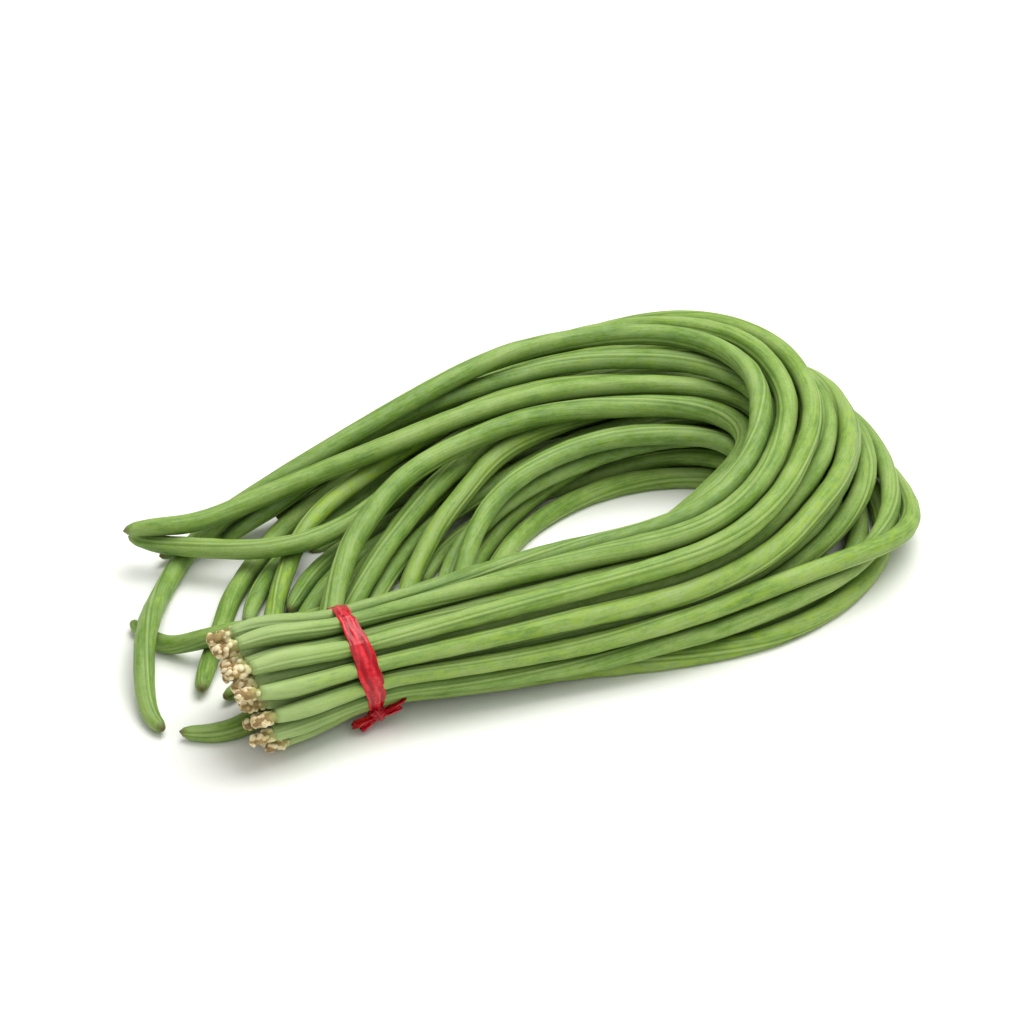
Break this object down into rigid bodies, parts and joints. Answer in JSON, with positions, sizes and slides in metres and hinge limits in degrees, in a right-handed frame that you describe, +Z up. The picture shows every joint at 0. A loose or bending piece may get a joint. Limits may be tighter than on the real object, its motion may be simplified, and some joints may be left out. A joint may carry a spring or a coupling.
{
  "type": "yardlong bean bunch",
  "caption": "Bunch of long, thin green bean pods folded over once into a loose U and tied near the stem ends with a ribbon, lying on its side.",
  "frame": {"origin": "on the surface the bunch lies on, under the middle of its box", "axes": "+X along the folded bunch from the tied stem ends towards the fold, +Y from the tied strand towards the loose strand behind it, +Z up"},
  "size_m": [0.2924, 0.2028, 0.054],
  "materials": {
    "pod": "satin",
    "stalk": "matte",
    "tie": "gloss"
  },
  "bodies": {
    "root": {"pod_01": "pod", "pod_02": "pod", "pod_03": "pod", "pod_04": "pod", "pod_05": "pod", "pod_06": "pod", "pod_07": "pod", "pod_08": "pod", "pod_09": "pod", "pod_10": "pod", "pod_11": "pod", "pod_12": "pod", "pod_13": "pod", "pod_14": "pod", "pod_15": "pod", "pod_16": "pod", "pod_17": "pod", "pod_18": "pod", "pod_19": "pod", "pod_20": "pod", "pod_21": "pod", "pod_22": "pod", "pod_23": "pod", "pod_24": "pod", "pod_25": "pod", "pod_26": "pod", "pod_27": "pod", "pod_28": "pod", "pod_29": "pod", "stalk_01": "stalk", "stalk_02": "stalk", "stalk_03": "stalk", "stalk_04": "stalk", "stalk_05": "stalk", "stalk_06": "stalk", "stalk_07": "stalk", "stalk_08": "stalk", "stalk_09": "stalk", "stalk_10": "stalk", "stalk_11": "stalk", "stalk_12": "stalk", "stalk_13": "stalk", "stalk_14": "stalk", "stalk_15": "stalk", "stalk_16": "stalk", "stalk_17": "stalk", "stalk_18": "stalk", "stalk_19": "stalk", "stalk_20": "stalk", "stalk_21": "stalk", "stalk_22": "stalk", "stalk_23": "stalk", "stalk_24": "stalk", "stalk_25": "stalk", "stalk_26": "stalk", "stalk_27": "stalk", "stalk_28": "stalk", "stalk_29": "stalk", "tie": "tie"}
  },
  "joints": []
}
